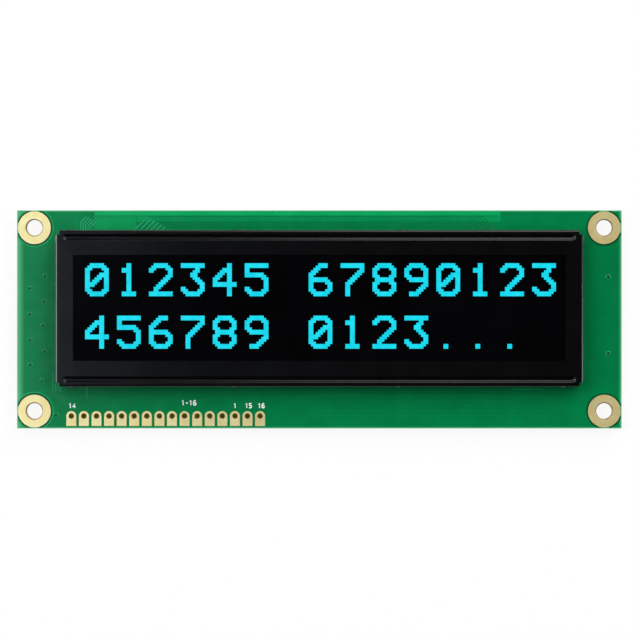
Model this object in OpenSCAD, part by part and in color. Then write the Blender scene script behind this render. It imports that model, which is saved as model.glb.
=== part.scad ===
// Character display module: a printed board that carries a glass display panel
// under a folded and beaded sheet-metal bezel, lying on its back with the display up.
// X runs along the board, Y up the display and Z out of the display's face.
// X and Y are zero at the board's centre, Z at the tips of the bezel's twisted tabs.

/* [Board] */
// Length of the circuit board
board_w = 122; // [120:0.5:140]
// Height of the circuit board
board_h = 44; // [42:0.5:56]
// Thickness of the circuit board
board_t = 1.6; // [0.8:0.1:2.4]

/* [Mounting holes] */
// Distance from each hole's centre to the two nearest board edges
hole_edge = 3.5; // [3.4:0.1:4]
// Finished diameter of the plated hole
hole_d = 3.2; // [2.5:0.1:4]
// Outer diameter of the plated ring
ring_d = 6.6; // [5.5:0.1:6.8]

/* [Header row] */
// Number of header holes
pin_count = 16; // [14:1:16]
// Distance between neighbouring header holes
pin_pitch = 2.54; // [2:0.01:2.6]
// Finished diameter of a header hole
pin_hole_d = 1.1; // [0.8:0.05:1.2]
// Distance from the left mounting holes to the first header hole
pin_start = 7.44; // [6:0.02:9]
// Distance from the board's lower edge to the header row
pin_edge = 2.5; // [2.3:0.1:3.5]
// Width of a header pad
pad_w = 2.0; // [1.6:0.05:2.2]
// Length of a header pad from the hole to its square end
pad_tail = 2.0; // [1.2:0.1:2.2]

/* [Plating] */
// Thickness of the pads on the board's faces
plate_t = 0.05; // [0.03:0.01:0.1]
// Wall of the plated barrels
barrel_t = 0.1; // [0.05:0.01:0.15]
// Rounding of a mounting ring's inner edges
lip_r = 0.2; // [0.05:0.01:0.25]

/* [Bezel] */
// Outer length of the bezel
bezel_w = 105.8; // [104:0.2:108]
// Outer height of the bezel
bezel_h = 31.4; // [30:0.2:33]
// Height of the bezel's front face above the board
bezel_rise = 5; // [4.2:0.1:7]
// Distance of the bezel's centre above the board's centre
bezel_y = 2.2; // [1:0.1:3]
// Thickness of the sheet
sheet_t = 0.4; // [0.3:0.05:0.6]
// Inner radius of the folds
bend_r = 0.1; // [0.05:0.05:0.4]
// Side of the square cut that opens each folded corner
corner_relief = 0.9; // [0.9:0.1:1.5]

/* [Window] */
// Length of the window
window_w = 98.6; // [90:0.2:100]
// Height of the window
window_h = 21.2; // [16:0.2:21.6]
// Distance of the window's centre above the bezel's centre
window_shift = 0.1; // [0:0.05:0.3]

/* [Beads] */
// Width of a pressed bead between its shoulders
bead_w = 1.5; // [0.8:0.05:1.7]
// Depth of a pressed bead
bead_depth = 0.35; // [0.2:0.05:0.45]
// Distance from the bezel's long edges to the beads' centre lines
bead_inset = 1.45; // [1.3:0.05:1.8]
// Distance from the bezel's short edges to the beads' ends
bead_end = 1.5; // [1.2:0.1:4]

/* [Tabs] */
// Number of tabs on each long wall
tab_count = 4; // [2:1:6]
// Width of a tab
tab_w = 2; // [1.5:0.1:3]
// Length of a tab behind the board
tab_reach = 2; // [1.9:0.1:3]
// Distance from the bezel's short edges to the outer tabs' centres
tab_end = 3; // [2.5:0.1:8]
// Angle by which a tab is twisted
tab_twist = 45; // [0:5:80]
// Clearance round a tab in its slot
slot_gap = 0.2; // [0.1:0.05:0.3]

/* [Panel] */
// Gap between the glass and the bezel's short walls
panel_end_gap = 1; // [0.4:0.1:1.4]
// Gap between the glass and the beads' inner bulge
panel_bead_gap = 0.3; // [0.1:0.05:0.5]
// Thickness of the polariser
polariser_t = 0.2; // [0.1:0.05:0.3]
// Inset of the polariser from the glass
polariser_inset = 0.5; // [0.2:0.1:1]
// Thickness of the front glass
glass_t = 1.1; // [0.5:0.1:1.3]
// Thickness of the seal between the two glasses
seal_t = 0.1; // [0.08:0.02:0.2]
// Width of the seal
seal_w = 1; // [0.8:0.1:1.2]
// Thickness of the cover glass
cover_t = 1.1; // [0.8:0.1:1.3]
// Inset of the cover glass from the front glass, on the three sides without a ledge
cover_inset = 0.8; // [0.4:0.1:1]
// Width of the contact ledge along the front glass's lower edge
ledge = 2.2; // [2:0.1:2.4]
// Depth of the recess in the cover glass
recess_depth = 0.5; // [0.4:0.05:0.6]
// Thickness of the desiccant sheet
desiccant_t = 0.25; // [0.15:0.05:0.3]
// Gap between the desiccant sheet and the walls of the recess
desiccant_gap = 2; // [1:0.5:6]
// Thickness of the pixel layer
pixel_t = 0.05; // [0.02:0.01:0.06]
// Margin between the seal and the pixel layer's short sides
pixel_margin = 1.6; // [0.4:0.1:3]
// Margin between the seal and the pixel layer's upper side
pixel_margin_top = 2.04; // [0.4:0.02:4]
// Margin between the seal and the pixel layer's lower side
pixel_margin_bottom = 0.84; // [0.4:0.02:4]

/* [Flex tail] */
// Width of the flex tail
flex_w = 40; // [20:1:60]
// Thickness of the flex tail
flex_t = 0.15; // [0.1:0.01:0.2]
// Length bonded to the glass
flex_bond = 1.6; // [1:0.1:1.8]
// Length that lies on the board
flex_foot = 5; // [3:0.5:8]
// Gap between the flex tail's bend and the bezel's lower wall
flex_gap = 0.5; // [0.3:0.05:0.6]

/* [Foam tape] */
// Width of a tape pad
tape_w = 8; // [4:0.5:16]
// Height of a tape pad
tape_h = 16; // [8:0.5:20]
// Distance from the cover glass's ends to the tape pads
tape_inset = 3; // [1:0.5:8]

/* [Controller] */
// Diameter of the glob top
glob_d = 15; // [10:0.5:18]
// Height of the glob top
glob_h = 1.5; // [1:0.1:1.8]
// Length of the bare die
die_w = 5; // [3:0.1:6]
// Width of the bare die
die_d = 2.2; // [1.5:0.1:3]
// Thickness of the bare die
die_t = 0.4; // [0.2:0.05:0.5]

/* [Boost converter] */
// Side of the inductor
inductor_w = 4; // [3:0.1:5]
// Height of the inductor
inductor_h = 1.6; // [1.2:0.1:1.8]
// Length of the converter's moulded body
converter_w = 2.9; // [2.6:0.1:3.2]
// Width of the converter's moulded body
converter_d = 1.6; // [1.4:0.1:1.8]
// Distance between neighbouring converter leads
converter_pitch = 0.95; // [0.85:0.05:1]
// Length of the diode's moulded body
diode_w = 2.7; // [2.4:0.1:3]
// Width of the diode's moulded body
diode_d = 1.6; // [1.4:0.1:1.8]
// Height of the moulded bodies
moulded_h = 1; // [0.8:0.05:1.2]
// Height of the moulded bodies above the board
moulded_lift = 0.1; // [0.05:0.01:0.15]
// Thickness of the formed leads
lead_t = 0.15; // [0.1:0.01:0.2]
// Reach of a formed lead beyond its body
lead_reach = 0.6; // [0.5:0.05:0.9]
// Width of a formed lead, as a share of its pitch or its body
lead_share = 0.42; // [0.3:0.02:0.5]
// Length of the reservoir capacitor
reservoir_w = 3.2; // [3:0.1:3.6]
// Width of the reservoir capacitor
reservoir_d = 1.6; // [1.4:0.1:1.8]
// Height of the reservoir capacitor
reservoir_h = 1.6; // [1.2:0.1:1.8]

/* [Chip parts] */
// Length of a chip capacitor
capacitor_w = 2; // [1.6:0.1:2.4]
// Width of a chip capacitor
capacitor_d = 1.25; // [0.8:0.05:1.4]
// Height of a chip capacitor
capacitor_h = 0.9; // [0.6:0.05:1.2]
// Length of a chip resistor
resistor_w = 1.6; // [1.2:0.1:2]
// Width of a chip resistor
resistor_d = 0.8; // [0.6:0.05:1]
// Height of a chip resistor
resistor_h = 0.45; // [0.35:0.05:0.6]
// Share of a chip part's length that each metal end covers
chip_end = 0.2; // [0.12:0.01:0.3]
// Height of the metal ends above the chip's body
chip_proud = 0.03; // [0.01:0.01:0.05]

/* [Hidden] */
$fn = 48;
cut = 1; // how far a cutting solid runs past the face it cuts

// Levels, from the tab tips up
board_back_z = tab_reach;
board_front_z = board_back_z + board_t;
face_z = board_front_z + bezel_rise;
polariser_z = face_z - sheet_t - polariser_t;
glass_z = polariser_z - glass_t;
seal_z = glass_z - seal_t;
cover_z = seal_z - cover_t;

// Mounting holes and header row
hole_x = board_w / 2 - hole_edge;
hole_y = board_h / 2 - hole_edge;
lip_turn = 18; // angle between the corners of a lip's outline
ring_corners = [["top_left", -1, 1], ["top_right", 1, 1], ["bottom_left", -1, -1], ["bottom_right", 1, -1]];
pin_y = -board_h / 2 + pin_edge;
function pin_x(pin) = -hole_x + pin_start + (pin - 1) * pin_pitch;

// Beads: half a section, from the middle of the round bottom to the end of a shoulder of the same radius
bead_half = bead_w / 2;
bead_slope = 2 * atan(bead_depth / bead_half);
bead_r = bead_half / (2 * sin(bead_slope));
bead_steps = 6;
bead_curve = concat(
    [for (i = [0:bead_steps]) let (a = bead_slope * i / bead_steps)
        [bead_r * sin(a), bead_r * (1 - cos(a)) - bead_depth]],
    [for (i = [bead_steps - 1:-1:0]) let (a = bead_slope * i / bead_steps)
        [bead_half - bead_r * sin(a), bead_r * (cos(a) - 1)]]
);
bead_l = bezel_w - 2 * bead_end - bead_w;
bead_y = bezel_h / 2 - bead_inset;

// Tabs and the board's slots for them
tab_first_x = -bezel_w / 2 + tab_end;
tab_step = (bezel_w - 2 * tab_end) / (tab_count - 1);
tab_y = bezel_h / 2 - sheet_t / 2;
slot_w = sheet_t + 2 * slot_gap;

// Panel outlines
glass_w = bezel_w - 2 * (sheet_t + panel_end_gap);
glass_h = 2 * (bead_y - bead_half - panel_bead_gap);
glass_low_y = bezel_y - glass_h / 2;
window_y = bezel_y + window_shift;
cover_w = glass_w - 2 * cover_inset;
cover_h = glass_h - cover_inset - ledge;
cover_y = glass_low_y + ledge + cover_h / 2;
recess_w = cover_w - 2 * seal_w;
recess_h = cover_h - 2 * seal_w;
recess_floor_z = seal_z - recess_depth;
pixel_w = recess_w - 2 * pixel_margin;
pixel_h = recess_h - pixel_margin_top - pixel_margin_bottom;
pixel_y = cover_y + (pixel_margin_bottom - pixel_margin_top) / 2;

// Flex tail: a half turn from the glass ledge down to the board
flex_r = (glass_z - board_front_z) / 2;
flex_y = bezel_y - bezel_h / 2 + sheet_t + flex_gap + flex_r;

// Places of the parts on the board's back
controller_spot = [6, 2];
inductor_spot = [34, 6];
converter_spot = [28, 6];
diode_spot = [34, 0.5];
reservoir_spot = [41, 5];
capacitor_spots = [[23, 6, 90], [28, 9.5, 0], [28, 2, 0], [41, 0.5, 90], [-7, 2, 90], [19, -6, 0]];
resistor_spots = [[-6, 9, 0], [-9, 9, 0], [-12, 9, 0], [24, 1, 90], [-10, -5, 0], [-13, -5, 0]];

// Shared shapes

// A plate of the given outline centred on X and Y
module plate(w, h, t) {
    translate([-w / 2, -h / 2, 0]) cube([w, h, t]);
}

// Places its children at every tab, on both long walls
module at_tabs() {
    for (side = [-1, 1], i = [0:tab_count - 1])
        translate([tab_first_x + i * tab_step, bezel_y + side * tab_y, 0]) children();
}

// The space between a bead's curve and a level above its shoulders, along X with round ends
module bead(top) {
    half_section = concat(bead_curve, [[bead_half, top], [0, top]]);
    section = concat(
        bead_curve, [[bead_half, top], [-bead_half, top]],
        [for (i = [len(bead_curve) - 1:-1:1]) [-bead_curve[i][0], bead_curve[i][1]]]
    );
    rotate([90, 0, 90]) translate([0, 0, -bead_l / 2]) linear_extrude(bead_l) polygon(section);
    for (end = [-1, 1]) translate([end * bead_l / 2, 0, 0])
        rotate([0, 0, -90 * end]) rotate_extrude(angle = 180) polygon(half_section);
}

// Section of a folded sheet's outside: upright walls and a flat top joined by round bends
module folded_section(w, top, r) {
    translate([-w / 2, 0]) square([w, top - r]);
    translate([-w / 2 + r, 0]) square([w - 2 * r, top]);
    for (side = [-1, 1]) translate([side * (w / 2 - r), top - r]) circle(r);
}

// A block whose four upper edges are folded round
module folded_block(w, h, top, r) {
    intersection() {
        rotate([90, 0, 0]) translate([0, 0, -h / 2]) linear_extrude(h) folded_section(w, top, r);
        rotate([90, 0, 90]) translate([0, 0, -w / 2]) linear_extrude(w) folded_section(h, top, r);
    }
}

// Stands its children on the board's back, with their Z pointing away from the board
module on_back(spot) {
    translate([spot[0], spot[1], board_back_z]) mirror([0, 0, 1]) children();
}

// A ceramic chip: a body between two slightly thicker metal ends
module chip(w, d, h) {
    end_w = w * chip_end;
    translate([0, 0, chip_proud]) plate(w - end_w, d - 2 * chip_proud, h - 2 * chip_proud);
    for (side = [-1, 1]) translate([side * (w - end_w) / 2, 0, 0]) plate(end_w, d, h);
}

// A moulded body that is widest at its parting line
module moulded_body(w, d, h) {
    draft = h / 10;
    intersection() {
        rotate([90, 0, 0]) translate([0, 0, -d / 2]) linear_extrude(d) drafted_section(w, h, draft);
        rotate([90, 0, 90]) translate([0, 0, -w / 2]) linear_extrude(w) drafted_section(d, h, draft);
    }
}

// Section of a moulded body
module drafted_section(w, h, draft) {
    half = w / 2;
    polygon([
        [-half + draft, 0], [half - draft, 0], [half, h / 2],
        [half - draft, h], [-half + draft, h], [-half, h / 2]
    ]);
}

// A formed lead: out of the body's parting line, down to the board and along it
module formed_lead(body_d, width) {
    out = body_d / 2;
    knee = out + lead_reach / 3;
    ankle = knee + lead_t;
    toe = out + lead_reach;
    top = moulded_lift + moulded_h / 2 + lead_t / 2;
    rotate([90, 0, 90]) translate([0, 0, -width / 2]) linear_extrude(width) polygon([
        [out, top], [ankle, top], [ankle, lead_t], [toe, lead_t],
        [toe, 0], [knee, 0], [knee, top - lead_t], [out, top - lead_t]
    ]);
}

// Board and plating

// The laminate with its drilled holes and the slots for the bezel's tabs
module circuit_board() {
    color("#0b6b43") difference() {
        translate([0, 0, board_back_z]) plate(board_w, board_h, board_t);
        for (corner = ring_corners)
            translate([corner[1] * hole_x, corner[2] * hole_y, board_back_z - cut])
                cylinder(h = board_t + 2 * cut, d = hole_d + 2 * barrel_t);
        for (pin = [1:pin_count])
            translate([pin_x(pin), pin_y, board_back_z - cut])
                cylinder(h = board_t + 2 * cut, d = pin_hole_d + 2 * barrel_t);
        at_tabs() translate([0, 0, board_back_z - cut]) linear_extrude(board_t + 2 * cut) {
            square([tab_w, slot_w], center = true);
            for (end = [-1, 1]) translate([end * tab_w / 2, 0]) circle(d = slot_w);
        }
    }
}

// One plated ring: a flange on both faces of the board and the barrel between them, with round lips
module mounting_ring(corner) {
    lip_x = hole_d / 2 + lip_r;
    back = -plate_t;
    front = board_t + plate_t;
    color("#d8c27c") translate([corner[1] * hole_x, corner[2] * hole_y, board_back_z])
        rotate_extrude() polygon(concat(
            [for (a = [180:lip_turn:270]) [lip_x + lip_r * cos(a), back + lip_r + lip_r * sin(a)]],
            [[ring_d / 2, back], [ring_d / 2, 0], [hole_d / 2 + barrel_t, 0]],
            [[hole_d / 2 + barrel_t, board_t], [ring_d / 2, board_t], [ring_d / 2, front]],
            [for (a = [90:lip_turn:180]) [lip_x + lip_r * cos(a), front - lip_r + lip_r * sin(a)]]
        ));
}

// Outline of a header pad: round above the hole, square towards the board's edge
module pad_outline() {
    circle(d = pad_w);
    translate([-pad_w / 2, -pad_tail]) square([pad_w, pad_tail]);
}

// One plated header hole with a pad on both faces
module header_pad(pin) {
    color("#d8c27c") translate([pin_x(pin), pin_y, board_back_z]) difference() {
        union() {
            translate([0, 0, -plate_t]) linear_extrude(plate_t) pad_outline();
            cylinder(h = board_t, d = pin_hole_d + 2 * barrel_t);
            translate([0, 0, board_t]) linear_extrude(plate_t) pad_outline();
        }
        translate([0, 0, -plate_t - cut]) cylinder(h = board_t + 2 * (plate_t + cut), d = pin_hole_d);
    }
}

// Bezel

// The shell that the folds leave: outside less inside, open towards the board
module folded_shell() {
    difference() {
        folded_block(bezel_w, bezel_h, bezel_rise, bend_r + sheet_t);
        translate([0, 0, -cut])
            folded_block(bezel_w - 2 * sheet_t, bezel_h - 2 * sheet_t, bezel_rise - sheet_t + cut, bend_r);
    }
}

// One tab: straight through the board, then twisted behind it
module tab() {
    translate([-tab_w / 2, -sheet_t / 2, board_back_z]) cube([tab_w, sheet_t, board_t + bend_r]);
    rotate([0, 0, tab_twist]) linear_extrude(board_back_z, twist = tab_twist, slices = 8, segments = 4)
        square([tab_w, sheet_t], center = true);
}

// The folded sheet with its window, open corners, pressed beads and tabs
module bezel() {
    color("#17181a") union() {
        difference() {
            union() {
                translate([0, bezel_y, board_front_z]) folded_shell();
                at_beads() translate([0, 0, -sheet_t]) bead(sheet_t / 2);
            }
            translate([0, window_y, face_z - sheet_t - cut]) plate(window_w, window_h, sheet_t + 2 * cut);
            for (side_x = [-1, 1], side_y = [-1, 1])
                translate([side_x * bezel_w / 2, bezel_y + side_y * bezel_h / 2, board_front_z - cut])
                    plate(2 * corner_relief, 2 * corner_relief, bezel_rise + 2 * cut);
            at_beads() bead(cut);
        }
        at_tabs() tab();
    }
}

// Places its children on the beads' centre lines, at the level of the bezel's face
module at_beads() {
    for (side = [-1, 1]) translate([0, bezel_y + side * bead_y, face_z]) children();
}

// Display panel

// The dark film on the front of the glass
module polariser() {
    color("#08090b") translate([0, bezel_y, polariser_z])
        plate(glass_w - 2 * polariser_inset, glass_h - 2 * polariser_inset, polariser_t);
}

// The glass that the pixels are made on
module front_glass() {
    color("#9fb4b8") translate([0, bezel_y, glass_z]) plate(glass_w, glass_h, glass_t);
}

// The light-emitting layers on the rear of the front glass
module pixel_layer() {
    color("#1c2a30") translate([0, pixel_y, glass_z - pixel_t]) plate(pixel_w, pixel_h, pixel_t);
}

// The frame of adhesive that joins the two glasses
module edge_seal() {
    color("#c9c7b8") translate([0, cover_y, seal_z]) difference() {
        plate(cover_w, cover_h, seal_t);
        translate([0, 0, -cut]) plate(recess_w, recess_h, seal_t + 2 * cut);
    }
}

// The rear glass, recessed over the pixels
module cover_glass() {
    color("#8fa5a9") translate([0, cover_y, cover_z]) difference() {
        plate(cover_w, cover_h, cover_t);
        translate([0, 0, cover_t - recess_depth]) plate(recess_w, recess_h, recess_depth + cut);
    }
}

// The drying sheet stuck in the recess
module desiccant_sheet() {
    color("#e8e6dc") translate([0, cover_y, recess_floor_z])
        plate(recess_w - 2 * desiccant_gap, recess_h - 2 * desiccant_gap, desiccant_t);
}

// The flat cable from the glass ledge round to the board
module flex_tail() {
    color("#b5721f") rotate([90, 0, 90]) translate([0, 0, -flex_w / 2]) linear_extrude(flex_w) {
        translate([flex_y, glass_z - flex_t]) square([flex_bond, flex_t]);
        translate([flex_y, board_front_z]) square([flex_foot, flex_t]);
        translate([flex_y, board_front_z + flex_r]) difference() {
            circle(flex_r);
            circle(flex_r - flex_t);
            translate([0, -flex_r - cut]) square([flex_r + cut, 2 * (flex_r + cut)]);
        }
    }
}

// One pad of double-sided foam between the cover glass and the board
module foam_tape(side) {
    color("#dedbd2") translate([side * (cover_w / 2 - tape_inset - tape_w / 2), cover_y, board_front_z])
        plate(tape_w, tape_h, cover_z - board_front_z);
}

// Parts on the board's back

// The bare controller chip
module controller_die() {
    color("#6a6f78") on_back(controller_spot) plate(die_w, die_d, die_t);
}

// The drop of epoxy over the controller
module glob_top() {
    dome_r = (glob_d * glob_d / 4 + glob_h * glob_h) / (2 * glob_h);
    color("#121212") on_back(controller_spot) difference() {
        rotate_extrude() intersection() {
            translate([0, glob_h - dome_r]) circle(dome_r, $fn = 360);
            square([glob_d / 2, glob_h]);
        }
        translate([0, 0, -cut]) plate(die_w, die_d, die_t + cut);
    }
}

// The boost inductor: a ferrite block with cut corners and a round core, on two metal feet
module boost_inductor() {
    half = inductor_w / 2;
    corner = inductor_w / 5;
    core_r = inductor_w * 0.35;
    groove = inductor_w / 20;
    foot_t = moulded_lift;
    foot_w = inductor_w / 4;
    color("#3c3d40") on_back(inductor_spot) {
        difference() {
            translate([0, 0, foot_t]) linear_extrude(inductor_h - foot_t) intersection() {
                square(inductor_w, center = true);
                rotate(45) square((inductor_w - corner) * sqrt(2), center = true);
            }
            translate([0, 0, inductor_h - 2 * groove]) difference() {
                cylinder(h = 2 * groove + cut, r = core_r + groove);
                translate([0, 0, -cut]) cylinder(h = 2 * groove + 3 * cut, r = core_r);
            }
        }
        for (side = [-1, 1]) translate([side * (half - foot_w / 2), 0, 0])
            plate(foot_w, inductor_w - 2 * corner, foot_t);
    }
}

// The converter's moulded body
module converter_body() {
    color("#1a1a1c") on_back(converter_spot)
        translate([0, 0, moulded_lift]) moulded_body(converter_w, converter_d, moulded_h);
}

// The converter's six formed leads
module converter_leads() {
    color("#c9ccd0") on_back(converter_spot)
        for (turn = [0, 180], i = [-1:1])
            rotate([0, 0, turn]) translate([i * converter_pitch, 0, 0])
                formed_lead(converter_d, converter_pitch * lead_share);
}

// The rectifier diode's moulded body
module diode_body() {
    color("#1a1a1c") on_back(diode_spot)
        translate([0, 0, moulded_lift]) moulded_body(diode_w, diode_d, moulded_h);
}

// The diode's two formed leads
module diode_leads() {
    color("#c9ccd0") on_back(diode_spot)
        for (turn = [90, 270]) rotate([0, 0, turn]) formed_lead(diode_w, diode_d * lead_share);
}

// The moulded reservoir capacitor on its two folded feet
module reservoir_capacitor() {
    foot_t = moulded_lift;
    foot_w = reservoir_w / 4;
    foot_d = reservoir_d * 0.75;
    color("#c8901f") on_back(reservoir_spot) {
        translate([0, 0, foot_t]) moulded_body(reservoir_w, reservoir_d, reservoir_h - foot_t);
        for (side = [-1, 1]) translate([side * (reservoir_w - foot_w) / 2, 0, 0]) {
            plate(foot_w, foot_d, foot_t);
            translate([side * foot_w / 2, 0, 0]) plate(2 * foot_t, foot_d, reservoir_h / 2);
        }
    }
}

// One ceramic chip capacitor
module chip_capacitor(spot) {
    color("#b89a6a") on_back(spot) rotate([0, 0, spot[2]]) chip(capacitor_w, capacitor_d, capacitor_h);
}

// One thick-film chip resistor
module chip_resistor(spot) {
    color("#26272a") on_back(spot) rotate([0, 0, spot[2]]) chip(resistor_w, resistor_d, resistor_h);
}

circuit_board();
for (corner = ring_corners)
    mounting_ring(corner);
for (pin = [1:pin_count])
    header_pad(pin);
bezel();
polariser();
front_glass();
pixel_layer();
edge_seal();
cover_glass();
desiccant_sheet();
flex_tail();
foam_tape(-1);  // foam_tape_left
foam_tape(1);  // foam_tape_right
controller_die();
glob_top();
boost_inductor();
converter_body();
converter_leads();
diode_body();
diode_leads();
reservoir_capacitor();
for (i = [1:len(capacitor_spots)])
    chip_capacitor(capacitor_spots[i - 1]);
for (i = [1:len(resistor_spots)])
    chip_resistor(resistor_spots[i - 1]);
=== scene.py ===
# %% [markdown]
# A character display module, dressed for the camera.
# The board, the bezel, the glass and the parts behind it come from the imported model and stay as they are.
# This lesson adds what a solid model leaves out: finishes, printed numbers, copper that shows through the
# solder mask, lit dots, soldered chips, and the light that they are seen in.

import math

import bpy
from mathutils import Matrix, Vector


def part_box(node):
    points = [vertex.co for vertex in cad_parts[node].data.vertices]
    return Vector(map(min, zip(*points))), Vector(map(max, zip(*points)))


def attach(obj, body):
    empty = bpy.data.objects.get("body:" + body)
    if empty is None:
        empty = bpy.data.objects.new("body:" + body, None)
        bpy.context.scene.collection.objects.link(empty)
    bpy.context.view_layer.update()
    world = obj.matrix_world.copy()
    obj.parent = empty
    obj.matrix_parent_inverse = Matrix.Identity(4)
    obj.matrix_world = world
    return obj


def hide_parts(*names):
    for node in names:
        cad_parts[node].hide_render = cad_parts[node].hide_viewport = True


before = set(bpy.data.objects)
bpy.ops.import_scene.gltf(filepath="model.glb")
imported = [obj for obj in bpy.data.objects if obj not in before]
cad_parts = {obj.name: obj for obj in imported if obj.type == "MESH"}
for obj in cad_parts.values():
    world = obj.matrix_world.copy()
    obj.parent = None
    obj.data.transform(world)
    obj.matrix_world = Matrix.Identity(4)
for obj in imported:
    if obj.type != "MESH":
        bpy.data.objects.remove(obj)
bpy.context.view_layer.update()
MM = 0.001
board_low, board_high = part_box("circuit_board")
FRONT = board_high.z
BACK = board_low.z
print("nodes", len(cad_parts), "board front", round(FRONT / MM, 3), "board back", round(BACK / MM, 3))

# %% [markdown]
# Finishes.
# A finish is a small tree of nodes. It reads Object coordinates, which are metres here, so a noise scale of
# 1000 gives marks of about a millimetre. The trees could be wired one by one, but most share the same parts,
# so the next cells make these parts once: tones, patterns, arithmetic and relief.


# %% tones and a new finish
def tone(red, green, blue):
    """A colour as it is read from a picture, 0 to 255, as the linear colour that a shader takes."""
    def linear(value):
        share = value / 255
        return share / 12.92 if share <= 0.04045 else ((share + 0.055) / 1.055) ** 2.4
    return (linear(red), linear(green), linear(blue), 1.0)


def new_finish(name, roughness, metallic=0.0, specular=0.5):
    """A material with its shader's plain numbers set."""
    finish = bpy.data.materials.new(name)
    finish.use_nodes = True
    shader = finish.node_tree.nodes["Principled BSDF"]
    shader.inputs["Roughness"].default_value = roughness
    shader.inputs["Metallic"].default_value = metallic
    shader.inputs["Specular IOR Level"].default_value = specular
    return finish, finish.node_tree, shader


print("mid grey, as a shader takes it", round(tone(128, 128, 128)[0], 3))


# %% patterns and blends
def noise(tree, scale, detail=4.0, stretch=(1, 1, 1)):
    """A noise on Object coordinates."""
    place = tree.nodes.new("ShaderNodeTexCoord")
    mapping = tree.nodes.new("ShaderNodeMapping")
    mapping.inputs["Scale"].default_value = stretch
    pattern = tree.nodes.new("ShaderNodeTexNoise")
    pattern.inputs["Scale"].default_value = scale
    pattern.inputs["Detail"].default_value = detail
    tree.links.new(place.outputs["Object"], mapping.inputs["Vector"])
    tree.links.new(mapping.outputs["Vector"], pattern.inputs["Vector"])
    return pattern.outputs["Fac"]


def ramp(tree, factor, low, high, start=0.35, stop=0.65):
    """A run between two tones."""
    node = tree.nodes.new("ShaderNodeValToRGB")
    node.color_ramp.elements[0].position = start
    node.color_ramp.elements[0].color = low
    node.color_ramp.elements[1].position = stop
    node.color_ramp.elements[1].color = high
    tree.links.new(factor, node.inputs["Fac"])
    return node.outputs["Color"]


def blend(tree, factor, first, second):
    """The first colour where the factor is 0, the second where it is 1."""
    node = tree.nodes.new("ShaderNodeMix")
    node.data_type = "RGBA"
    tree.links.new(factor, node.inputs["Factor"])
    for colour, socket in ((first, node.inputs["A"]), (second, node.inputs["B"])):
        if isinstance(colour, tuple):
            socket.default_value = colour
        else:
            tree.links.new(colour, socket)
    return node.outputs["Result"]


print("tools", noise.__name__, ramp.__name__, blend.__name__)


# %% numbers, places and relief
def spread(tree, factor, low, high, start=0.3, stop=0.7):
    """A number that goes from low to high while the factor goes from start to stop."""
    node = tree.nodes.new("ShaderNodeMapRange")
    node.inputs["From Min"].default_value = start
    node.inputs["From Max"].default_value = stop
    node.inputs["To Min"].default_value = low
    node.inputs["To Max"].default_value = high
    tree.links.new(factor, node.inputs["Value"])
    return node.outputs["Result"]


def number(tree, operation, first, second=None):
    """One step of arithmetic on sockets or plain numbers."""
    node = tree.nodes.new("ShaderNodeMath")
    node.operation = operation
    for socket, value in zip(node.inputs, (first, second)):
        if value is None:
            continue
        if isinstance(value, (int, float)):
            socket.default_value = value
        else:
            tree.links.new(value, socket)
    return node.outputs["Value"]


def axes(tree, output="Object"):
    """The three coordinates of a shaded point."""
    place = tree.nodes.new("ShaderNodeTexCoord")
    parts = tree.nodes.new("ShaderNodeSeparateXYZ")
    tree.links.new(place.outputs[output], parts.inputs["Vector"])
    return parts.outputs


def flatness(tree, normal):
    """One on a face that looks straight up or down, and zero on an upright wall."""
    geometry = tree.nodes.new("ShaderNodeNewGeometry")
    parts = tree.nodes.new("ShaderNodeSeparateXYZ")
    tree.links.new(geometry.outputs[normal], parts.inputs["Vector"])
    return number(tree, "ABSOLUTE", parts.outputs["Z"])


def relief(tree, shader, height, strength, depth):
    """Lets a pattern stand out of the surface."""
    node = tree.nodes.new("ShaderNodeBump")
    node.inputs["Strength"].default_value = strength
    node.inputs["Distance"].default_value = depth
    tree.links.new(height, node.inputs["Height"])
    tree.links.new(node.outputs["Normal"], shader.inputs["Normal"])


print("tools", spread.__name__, number.__name__, axes.__name__, flatness.__name__, relief.__name__)

# %% [markdown]
# Solder mask.
# The mask is a glossy green lacquer over woven glass laminate. Towards the board's outline it thins out and
# turns paler. A wider pale band along the left edge is a painted highlight, where the board catches the
# light.
# Sawn walls show the bare laminate, and in the slots and holes it is painted darker as painted shade. The
# board could be cut into pieces of one finish each, but a wall is known by its normal and an edge by its
# place, so one material does for the whole board.

# %% edges of the board
EDGE_X = 0.65 * MM
EDGE_Y = 0.4 * MM
PAINTED_GLARE = 1.5 * MM
PALE_MASK = tone(98, 190, 134)
SHADED_SLOT_WALL = tone(30, 60, 30)


def past_edge(tree, along, limit, margin):
    """Zero where a margin begins, one at the limit behind it, and less than zero before both."""
    return number(tree, "DIVIDE", number(tree, "SUBTRACT", along, limit - margin), margin)


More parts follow.
